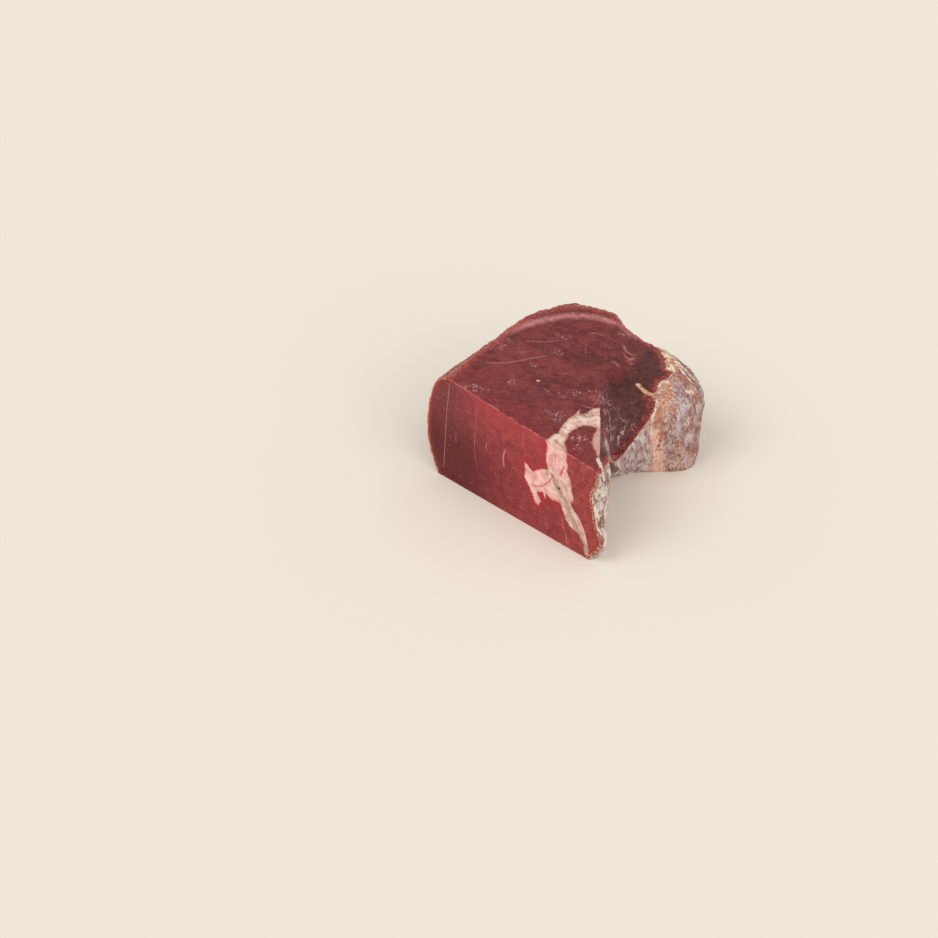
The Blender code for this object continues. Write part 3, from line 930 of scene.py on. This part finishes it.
def front_colour(g, place):
    """The fresh cut: wine red, brighter under its top edge and beside the fat, with fine slanting fibres."""
    broad = g.noise(place, 26.0, 2.0)
    patches = g.noise(place, 6.0, 4.0, 0.62)
    grain = g.noise(place, 1.15, 3.0, 0.7)
    fibres = g.noise(g.turned(place, (0.1, 1.0, 0.95), (0.0, -9.0, 0.0)), 1.0, 3.0, 0.62)
    upright = g.noise(g.turned(place, (0.7, 1.0, 0.07)), 1.0, 3.0, 0.6)
    x, _, _ = g.axes(place)
    colour = g.tones(patches, 0.34, 0.66, (140, 54, 58), (168, 76, 79))
    crimson = g.product(g.step("below_edge", 22.0, 2.0), g.step(x, -114.0, -78.0), g.blend(broad, 0.6, 1.15))
    colour = g.lay(colour, (176, 70, 75), crimson)
    colour = g.lay(colour, (118, 60, 62), g.step(x, -84.0, -116.0), 0.85)
    low = g.step("below_edge", 10.0, 54.0)
    colour = g.lay(colour, (128, 48, 52), low, 0.35)
    right = g.step(x, -24.0, -12.0)
    right_tone = g.tones(patches, 0.36, 0.64, (136, 56, 56), (172, 84, 78))
    right_tone = g.lay(right_tone, (176, 80, 68), g.step("skin", -7.0, -2.0), 0.7)
    colour = g.lay(colour, right_tone, right, 0.9)
    colour = g.layers(
        colour,
        (fibres, 0.52, 0.72, 0.45, (198, 118, 118)),
        (fibres, 0.46, 0.3, 0.45, (104, 30, 38)),
        (upright, 0.55, 0.75, 0.4, (188, 116, 114)),
        (upright, 0.44, 0.28, 0.35, (100, 34, 42)),
        (grain, 0.54, 0.74, 0.7, (200, 122, 116)),
        (grain, 0.46, 0.27, 0.7, (88, 24, 30)),
    )
    colour = g.lay(colour, (84, 18, 24), low, g.step(x, -50.0, -104.0), 0.75)
    near_fat = g.edge("fat", patches, 8.0, -6.0, 0.0)
    return g.lay(colour, (190, 40, 48), near_fat, g.step(x, -14.0, -24.0), 0.6)


def front_marks(g, place, colour):
    """Fascia lines, pale specks, a painted highlight along the top edge, and the dried rims at the left and
    right ends of the front cut.
    """
    wobble = g.swing(g.noise(place, 2.4, 3.0, 0.6))
    for name, (_, width, strength) in FRONT_LINES.items():
        colour = g.lay(colour, (212, 158, 156), g.line(name, width, strength, wobble))
    specks = g.product(g.step(g.cells(place, 3.0), 0.17, 0.06), g.step(g.noise(place, 9.0), 0.48, 0.6))
    colour = g.lay(colour, (220, 164, 152), specks, 0.8)
    grit = g.product(g.step(g.noise(place, 0.9, 2.0), 0.6, 0.7), g.step("below_edge", 46.0, 66.0))
    colour = g.lay(colour, (198, 144, 122), grit, 0.5)
    # Painted highlight: a pale, broken line along the top edge of the front cut
    top_line = g.step("below_edge", 1.5, 0.2)
    colour = g.lay(colour, (206, 112, 108), top_line, g.step(g.noise(place, 4.0), 0.36, 0.6), 0.5)
    ragged = g.swing(g.noise(place, 1.6, 3.0, 0.6), 4.0)
    x, _, _ = g.axes(place)
    wider = g.product(g.step(x, -24.0, -12.0), 1.1)
    edge = g.add(g.add("skin", wider), ragged)
    colour = g.lay(colour, (150, 58, 50), g.step(edge, -4.5, -1.6), 0.8)
    rim_tone = g.noise(place, 1.5, 3.0, 0.6)
    rim_colour = g.tones(rim_tone, 0.45, 0.62, (172, 96, 76), (220, 190, 166))
    rim_colour = g.lay(rim_colour, (112, 44, 38), g.step(rim_tone, 0.44, 0.34))
    return g.mix(g.product(g.step(edge, -1.9, -0.6), 0.9), colour, rim_colour)


def fat_colour(g, place):
    """The fat seam: pink above, cream and grey where it runs down, with red veins in it."""
    soft = g.noise(place, 4.6, 3.0, 0.6)
    fine = g.noise(place, 1.3, 3.0, 0.65)
    strands = g.noise(g.turned(place, (0.4, 0.4, 0.2), (0.0, 28.0, 0.0)), 1.0, 3.0, 0.55)
    pink = g.tones(soft, 0.38, 0.62, (226, 158, 154), (243, 200, 194))
    cream = g.tones(strands, 0.36, 0.64, (192, 144, 130), (232, 202, 184))
    x, _, z = g.axes(place)
    pink = g.mix(g.product(g.step(x, -21.0, -17.0), g.step(z, 54.0, 46.0), 0.8), pink, cream)
    core = g.edge("seam_core", soft, 9.0, 7.0, 4.0)
    colour = g.mix(core, pink, cream)
    grey = g.edge("seam_core", soft, 6.0, 2.6, 0.8)
    colour = g.lay(colour, (160, 124, 120), grey, 0.6)
    sheer = g.step("fat", 2.6, 0.3)
    top_fat = g.tones(soft, 0.36, 0.58, (206, 160, 144), (232, 208, 190))
    top_fat = g.lay(top_fat, (158, 98, 88), g.step(soft, 0.42, 0.3), 0.6)
    top_fat = g.lay(top_fat, (190, 128, 114), sheer, 0.55)
    arm = g.step(x, -26.0, -19.0)
    top_fat = g.mix(g.product(arm, 0.75), top_fat, g.tones(fine, 0.4, 0.6, (176, 116, 104), (206, 156, 138)))
    colour = g.mix("on_top", colour, top_fat)
    colour = g.lay(colour, (196, 120, 112), g.step(fine, 0.54, 0.76), 0.32)
    colour = g.lay(colour, (250, 230, 216), g.step(fine, 0.45, 0.26), 0.5)
    wobble = g.swing(g.noise(place, 3.0, 2.0))
    for name, (_, width, strength) in FAT_VEINS.items():
        colour = g.lay(colour, (204, 84, 88), g.line(name, width, strength, wobble))
    colour = g.lay(colour, (74, 50, 42), g.step("seam_pit", 1.5, 0.6))
    pit = g.product(g.step("top_pit", 5.5, 2.5), g.step(fine, 0.42, 0.58))
    return g.lay(colour, (112, 74, 62), pit, 0.85)


def top_colour(g, place):
    """The dried cut top: dark red-brown with long fibres, a painted highlight along its front edge, darker
    and greyer by the rear lobe.
    """
    broad = g.noise(place, 20.0, 3.0)
    patches = g.noise(place, 5.0, 4.0, 0.65)
    grain = g.noise(place, 1.05, 3.0, 0.7)
    fibres = g.noise(g.turned(place, (0.08, 0.7, 1.0), (0.0, 0.0, -50.0)), 1.0, 4.0, 0.65)
    colour = g.tones(patches, 0.34, 0.66, (108, 48, 48), (136, 70, 67))
    colour = g.layers(
        colour,
        (broad, 0.5, 0.64, 0.6, (146, 74, 71)),
        (broad, 0.47, 0.34, 0.6, (96, 50, 46)),
        ("behind_edge", 34.0, 2.0, 0.6, (140, 58, 60)),
        (fibres, 0.52, 0.74, 0.55, (158, 98, 92)),
        (fibres, 0.47, 0.28, 0.6, (78, 32, 34)),
        (grain, 0.54, 0.74, 0.65, (184, 128, 120)),
        (grain, 0.46, 0.27, 0.7, (62, 24, 27)),
    )
    # Painted highlight: a pale line along the front edge of the top
    edge_highlight = g.step("behind_edge", 1.7, 0.1)
    colour = g.lay(colour, (222, 142, 136), edge_highlight, g.step(patches, 0.36, 0.56), 0.95)
    ragged = g.swing(broad, 10.0)
    dark = g.step(g.add("dark", ragged), -2.5, 3.5)
    dark_tone = g.tones(patches, 0.36, 0.64, (72, 44, 43), (96, 60, 56))
    colour = g.lay(colour, dark_tone, dark, 0.9)
    colour = g.lay(colour, (140, 108, 104), dark, g.step(fibres, 0.55, 0.72), 0.35)
    near_crease = g.math("MAXIMUM", g.step("crease", 32.0, 14.0), "flank")
    near_crease = g.product(near_crease, dark)
    bend = g.noise(place, 12.0, 4.0, 0.6)
    _, _, z = g.axes(place)
    reach = g.math("SUBTRACT", "crease", g.product(z, 0.4))
    rings = g.math("SINE", g.add(g.product(reach, 1.3), g.product(bend, 34.0)))
    colour = g.lay(colour, (148, 122, 124), near_crease, 0.6)
    calm = g.rest_of(g.product("flank", 0.65))
    haze = g.product(g.step(rings, -0.4, 0.8), g.step(patches, 0.38, 0.58), near_crease, calm)
    colour = g.lay(colour, (168, 150, 158), haze, 0.55)
    close = g.math("MAXIMUM", g.step("crease", 25.0, 17.0), g.product("flank", 0.3))
    broken = g.step(g.noise(place, 3.0, 4.0, 0.75), 0.4, 0.5)
    thread = g.product(g.step(rings, 0.72, 0.96), broken, near_crease, close, calm)
    return g.lay(colour, (236, 226, 228), thread, 2.4)


def top_marks(g, place, colour):
    """Pale lines, white crystals with painted glints, painted glint dots, the pale membrane band with a
    painted sheen along the back and the red rim at the skin.
    """
    wobble = g.swing(g.noise(place, 2.2, 3.0, 0.6))
    for name, (_, width, strength) in TOP_LINES.items():
        colour = g.lay(colour, (198, 146, 136), g.line(name, width, strength, wobble))
    # The pale membrane band along the back, lighter with a painted sheen
    membrane_sheen_noise = g.swing(g.noise(place, 5.0, 4.0, 0.66), 8.0)
    milky = g.step(g.add("milky", membrane_sheen_noise), 5.6, -0.6)
    membrane_sheen_tone = g.tones(g.noise(place, 1.6, 3.0, 0.6), 0.4, 0.62, (198, 136, 132), (226, 182, 176))
    colour = g.lay(colour, membrane_sheen_tone, milky, 0.9)
    bits = g.noise(g.turned(place, (0.62, 1.25, 1.0), (0.0, 0.0, -40.0)), 1.0, 4.0, 0.72)
    strokes = g.noise(g.turned(place, (0.3, 1.1, 1.0), (0.0, 0.0, 62.0)), 1.0, 3.0, 0.6)
    patchy = g.noise(place, 3.4, 3.0, 0.7)
    # White crystals and painted glints: pale dots and short strokes in the clusters
    cluster = g.edge("crystal", patchy, 6.0, 0.2, 0.8)
    cluster = g.product(cluster, g.step("crystal", 0.0, 0.2))
    dots = g.step(g.cells(place, 1.9), 0.26, 0.12)
    marks = g.math("MAXIMUM", g.step(strokes, 0.57, 0.65), g.math("MAXIMUM", g.step(bits, 0.62, 0.7), dots))
    colour = g.lay(colour, (170, 140, 142), cluster, 0.1)
    colour = g.lay(colour, (238, 222, 218), marks, cluster, 0.85)
    # Painted highlight: scattered pale glint dots over the top
    painted_glint_dots = g.product(g.step(g.cells(place, 2.2), 0.2, 0.07), g.step(g.noise(place, 8.0, 2.0), 0.48, 0.62))
    colour = g.lay(colour, (196, 164, 158), painted_glint_dots, 0.75)
    colour = g.lay(colour, (236, 196, 140), g.step("crumb", 0.1, 0.4))
    ragged = g.swing(g.noise(place, 2.2, 3.0, 0.6), 6.0)
    _, _, z = g.axes(place)
    by_crease = g.product(g.step(z, 63.0, 55.0), g.step("crease", 40.0, 34.0))
    by_crease = g.product(by_crease, g.rest_of("flank"))
    wide = g.product(g.swing(g.noise(place, 6.0, 2.0)), 10.0, by_crease)
    edge = g.add("skin", g.add(ragged, wide))
    by_crease_rim = g.product(g.step(edge, -7.0, -2.5), 0.85)
    near_skin = g.blend(by_crease, g.product(g.step(edge, -4.5, -1.0), 0.7), by_crease_rim)
    rim = g.tones(ragged, -0.4, 0.9, (130, 50, 48), (164, 66, 60))
    back_rim = g.tones(ragged, -0.4, 0.9, (158, 62, 58), (194, 98, 88))
    rim = g.mix(by_crease, back_rim, rim)
    rim = g.lay(rim, (218, 170, 150), g.step(bits, 0.53, 0.64))
    return g.mix(near_skin, colour, rim)


def skin_colour(g, place):
    """The dried skin: grey-mauve, cream and orange bloom on the right, red-brown at the left and back."""
    patches = g.noise(place, 6.0, 5.0, 0.68)
    tones = g.noise(g.turned(place, (1.0, 1.0, 0.4), shift=(9.0, 4.0, 2.0)), 3.6, 4.0, 0.68, 0.4)
    grain = g.noise(place, 1.0, 3.0, 0.7)
    streaks = g.noise(g.turned(place, (1.0, 1.0, 0.16), shift=(31.0, 7.0, 5.0)), 1.8, 3.0, 0.62)
    granules = g.cells(place, 1.9)
    bloom = g.tones(patches, 0.4, 0.6, (140, 98, 94), (190, 156, 148))
    bloom = g.layers(
        bloom,
        (tones, 0.54, 0.64, 0.8, (222, 190, 164)),
        (tones, 0.44, 0.32, 0.8, (118, 74, 68)),
        (streaks, 0.55, 0.68, 0.6, (190, 182, 194)),
        (streaks, 0.44, 0.3, 0.6, (176, 106, 80)),
    )
    bloom = g.lay(bloom, (230, 208, 186), g.step(granules, 0.42, 0.18), g.step(patches, 0.42, 0.58), 0.6)
    lilac = g.edge("lilac", tones, 2.2, 0.0, 0.35)
    bloom = g.lay(bloom, (198, 186, 198), lilac, g.blend(g.step(patches, 0.42, 0.58), 0.15, 0.65))
    drawn = g.noise(g.turned(place, (0.42, 0.42, 0.09), (-14.0, 0.0, 0.0)), 1.0, 3.0, 0.6)
    grey_tone = g.tones(drawn, 0.38, 0.62, (158, 122, 122), (224, 212, 214))
    bloom = g.lay(bloom, grey_tone, "grey", 0.85)
    salmon_tone = g.tones(streaks, 0.38, 0.62, (228, 168, 148), (246, 206, 190))
    bloom = g.lay(bloom, salmon_tone, "salmon", 0.9)
    near_front = g.step("behind_front", 26.0, 10.0)
    flank_tone = g.tones(tones, 0.42, 0.54, (134, 88, 76), (240, 228, 218))
    bloom = g.lay(bloom, flank_tone, near_front, 0.75)
    broad = g.noise(g.turned(place, (1.0, 1.0, 0.6), shift=(5.0, 2.0, 8.0)), 24.0, 4.0, 0.6, 0.6)
    crust = g.tones(patches, 0.36, 0.64, (106, 54, 50), (146, 82, 74))
    crust = g.layers(
        crust,
        (streaks, 0.52, 0.7, 0.5, (172, 122, 108)),
        (streaks, 0.46, 0.3, 0.5, (84, 40, 38)),
        (tones, 0.42, 0.3, 0.55, (82, 42, 38)),
    )
    dusted = g.product(g.step(broad, 0.46, 0.6), g.blend(g.step(tones, 0.4, 0.6), 0.35, 0.9))
    crust = g.lay(crust, (176, 142, 134), dusted, 0.75)
    side = g.add("bloom", g.swing(tones, 1.2))
    side = g.add(side, g.swing(broad, 1.6))
    near_top = g.edge("skin", tones, 12.0, 13.0, 4.0)
    crust = g.mix(g.product(near_top, 0.75), crust, g.tones(tones, 0.4, 0.6, (134, 52, 48), (172, 86, 74)))
    on_bloom = g.step(side, 0.25, 0.75)
    colour = g.mix(on_bloom, crust, bloom)
    ragged = g.swing(tones, 2.4)
    red = g.step(g.add("red", ragged), 0.1, 0.5)
    colour = g.mix(g.product(red, 0.75), colour, g.tones(grain, 0.42, 0.58, (122, 54, 46), (182, 104, 90)))
    orange = g.step(g.add("orange", ragged), 0.0, 0.5)
    orange_tone = g.tones(grain, 0.42, 0.58, (170, 92, 62), (222, 176, 140))
    colour = g.lay(colour, orange_tone, orange, 0.85)
    lip = g.edge("skin", patches, 9.0, 4.0, 0.5)
    lip_tone = g.tones(grain, 0.4, 0.6, (164, 92, 72), (226, 194, 168))
    colour = g.mix(g.product(lip, g.blend("bloom", 0.35, 0.7)), colour, lip_tone)
    torn = g.swing(g.noise(place, 2.2, 3.0, 0.65), 4.0)
    for name, shade in (("brown", (118, 60, 48)), ("rusty", (184, 112, 80)), ("creamy", (242, 222, 194))):
        streak = g.step(g.add(name, torn), 1.4, 0.4)
        colour = g.lay(colour, shade, streak, 0.75)
    foam = g.product(g.step("foam", 3.2, 1.0), g.step(tones, 0.44, 0.52))
    colour = g.lay(colour, (246, 236, 230), foam, 0.85)
    smoother = g.rest_of(g.product("grey", 0.6))
    colour = g.lay(colour, (240, 224, 208), g.step(grain, 0.55, 0.74), 0.45, smoother)
    colour = g.lay(colour, (80, 44, 40), g.step(grain, 0.46, 0.28), 0.5, smoother)
    pits = g.noise(g.turned(place, (1.0, 1.0, 0.6), shift=(3.0, 17.0, 5.0)), 1.9, 3.0, 0.7)
    colour = g.lay(colour, (92, 52, 46), g.step(pits, 0.42, 0.33), 0.8, smoother)
    return g.lay(colour, (240, 226, 210), g.step(pits, 0.6, 0.68), g.blend(on_bloom, 0.25, 0.85))


def meat_material():
    """One material for the whole block. The fields choose between its four surfaces."""
    material = bpy.data.materials.new("cecina_surface")
    material.use_nodes = True
    g = Graph(material.node_tree)
    shader = material.node_tree.nodes["Principled BSDF"]
    place = g.field("rest", "Vector")
    fine = g.noise(place, 0.9, 3.0, 0.6)
    ragged = g.swing(g.noise(place, 1.5, 3.0, 0.6))

    front = front_marks(g, place, front_colour(g, place))
    top = top_marks(g, place, top_colour(g, place))
    skin = skin_colour(g, place)
    front = g.tint(front, (0.93, 0.70, 0.72, 1.0))
    top = g.tint(top, (0.84, 0.59, 0.60, 1.0))
    cut = g.mix("on_front", top, front)
    sway = g.swing(g.noise(place, 3.4, 3.0, 0.6))
    fat_edge = g.add("fat", g.add(g.product(ragged, 1.2), g.product(sway, 2.8)))
    fat = g.step(fat_edge, -0.8, 0.7)
    cut = g.mix(fat, cut, fat_colour(g, place))
    skin_ragged = g.add("skin", g.product(ragged, 5.0))
    on_skin = g.product(g.step(skin_ragged, -0.4, 0.6), g.rest_of("on_front"))
    colour = g.mix(on_skin, cut, skin)
    fold_tone = g.tones(fine, 0.44, 0.56, (164, 88, 56), (232, 196, 160))
    cream_tone = g.tones(sway, -0.02, 0.06, (234, 218, 192), (198, 136, 104))
    for name, reach, low, high, share, shade in (
        ("seam_string", 2.4, 1.5, 0.6, 0.9, (226, 210, 198)),
        ("pocket", 3.0, 4.0, 2.0, 0.8, (92, 54, 44)),
        ("fold_string", 3.0, 1.7, 0.8, 0.9, fold_tone),
        ("cream_patch", 2.4, -0.3, 0.4, 0.9, cream_tone),
    ):
        cover = g.step(g.add(name, g.product(ragged, reach)), low, high)
        colour = g.lay(colour, shade, cover, share)
    g.put(shader.inputs["Base Color"], colour)

    cut_rough = g.blend(g.noise(place, 4.0, 3.0), 0.36, 0.56)
    skin_rough = g.blend(g.noise(place, 3.0, 3.0), 0.5, 0.8)
    g.put(shader.inputs["Roughness"], g.blend(on_skin, cut_rough, skin_rough))
    shader.inputs["Specular IOR Level"].default_value = 0.2
    shader.inputs["Subsurface Weight"].default_value = 0.0

    height = g.product(fine, g.blend(on_skin, 0.16, 0.5))
    fibre_bump = g.noise(g.turned(place, (0.08, 0.7, 1.0), (0.0, 0.0, -52.0)), 1.0, 3.0, 0.6)
    height = g.add(height, g.product(fibre_bump, g.product("on_top", 0.35)))
    pores = g.cells(place, 1.3)
    height = g.add(height, g.product(pores, g.product(on_skin, 0.35)))
    bump = g.node("ShaderNodeBump")
    bump.inputs["Strength"].default_value = 0.8
    bump.inputs["Distance"].default_value = MM
    g.put(bump.inputs["Height"], height)
    g.put(shader.inputs["Normal"], bump.outputs[0])
    return material


def add_object(name, data):
    made = bpy.data.objects.new(name, data)
    bpy.context.scene.collection.objects.link(made)
    return made


def make_block():
    """The dressed block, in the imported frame."""
    form = Form()
    fields, used = surface_fields(form)
    moved = fine_relief(form, fields, used)
    low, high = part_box(NODE)
    middle = (form.points[:, 0].min() + form.points[:, 0].max()) / 2
    shift = np.array([(low.x + high.x) / 2 / MM - middle, low.y / MM, 0.0])
    mesh = bpy.data.meshes.new("cecina_dressed")
    mesh.from_pydata((moved + shift) * MM, [], form.faces)
    for name, values in fields.items():
        mesh.attributes.new(name, "FLOAT", "POINT").data.foreach_set("value", values.astype(np.float32))
    rest = mesh.attributes.new("rest", "FLOAT_VECTOR", "POINT")
    rest.data.foreach_set("vector", form.points.astype(np.float32).ravel())
    for part in ("front", "top"):
        shown = [float(face_part == part) for face_part in form.parts]
        mesh.attributes.new(f"on_{part}", "FLOAT", "FACE").data.foreach_set("value", shown)
    unwrap(mesh, form)
    mesh.update()
    mesh.shade_smooth()
    mesh.set_sharp_from_angle(angle=math.radians(48))
    mesh.materials.append(meat_material())
    block = add_object("cecina_dressed", mesh)
    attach(block, "root")
    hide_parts(NODE)
    return shift


# The studio, in metres
FLOOR_SIZE = 6.0
FLOOR_GAP = 0.0002
LIGHT_AWAY = 2.0


def make_floor():
    """A plain pale floor."""
    size = FLOOR_SIZE
    mesh = bpy.data.meshes.new("floor")
    corners = [(-size, -size, 0), (size, -size, 0), (size, size, 0), (-size, size, 0)]
    mesh.from_pydata(corners, [], [(0, 1, 2, 3)])
    material = bpy.data.materials.new("floor")
    material.use_nodes = True
    shader = material.node_tree.nodes["Principled BSDF"]
    shader.inputs["Base Color"].default_value = srgb(235, 227, 215)
    shader.inputs["Roughness"].default_value = 0.9
    shader.inputs["Specular IOR Level"].default_value = 0.1
    mesh.materials.append(material)
    floor = add_object("floor", mesh)
    floor.location.z = -FLOOR_GAP


def add_light(name, kind, energy, direction, **settings):
    """A light that shines on the block from a direction given as azimuth and elevation in degrees."""
    light = bpy.data.lights.new(name, kind)
    light.energy = energy
    for setting, value in settings.items():
        setattr(light, setting, value)
    azimuth, elevation = (math.radians(angle) for angle in direction)
    level = math.cos(elevation)
    toward = Vector((math.sin(azimuth) * level, -math.cos(azimuth) * level, math.sin(elevation)))
    lamp = add_object(name, light)
    lamp.location = toward * LIGHT_AWAY
    lamp.rotation_euler = toward.to_track_quat("Z", "Y").to_euler()


def make_light():
    """Soft studio light: an even sky, a broad key from the front left and a fill from the right."""
    world = bpy.data.worlds.new("studio")
    world.use_nodes = True
    background = world.node_tree.nodes["Background"]
    background.inputs["Color"].default_value = (1.0, 0.985, 0.96, 1.0)
    background.inputs["Strength"].default_value = 0.62
    bpy.context.scene.world = world
    add_light("key", "SUN", 1.0, (-12.0, 50.0), angle=math.radians(38), color=(1.0, 0.985, 0.965))
    add_light("fill", "SUN", 1.0, (72.0, 38.0), angle=math.radians(55), color=(1.0, 0.99, 0.98))


# The camera, in the block's plan: 1.2 m away, looking down at 36 degrees
CAMERA_AT = (602.3, -722.9, 748.0)
CAMERA_PITCH = 36.0
CAMERA_YAW = 44.08
PIXELS_ACROSS = 938
FOCAL_PIXELS = 2000.0
SENSOR = 36.0


def make_camera(shift):
    """The photograph's view of the block."""
    data = bpy.data.cameras.new("camera")
    data.sensor_width = SENSOR
    data.lens = FOCAL_PIXELS / PIXELS_ACROSS * SENSOR
    data.clip_start = 0.01
    camera = add_object("camera", data)
    camera.location = (Vector(CAMERA_AT) + Vector(shift)) * MM
    camera.rotation_euler = (math.radians(90.0 - CAMERA_PITCH), 0.0, math.radians(CAMERA_YAW))
    bpy.context.scene.camera = camera


block_shift = make_block()
make_floor()
make_light()
make_camera(block_shift)
bpy.context.scene.view_settings.view_transform = "Standard"
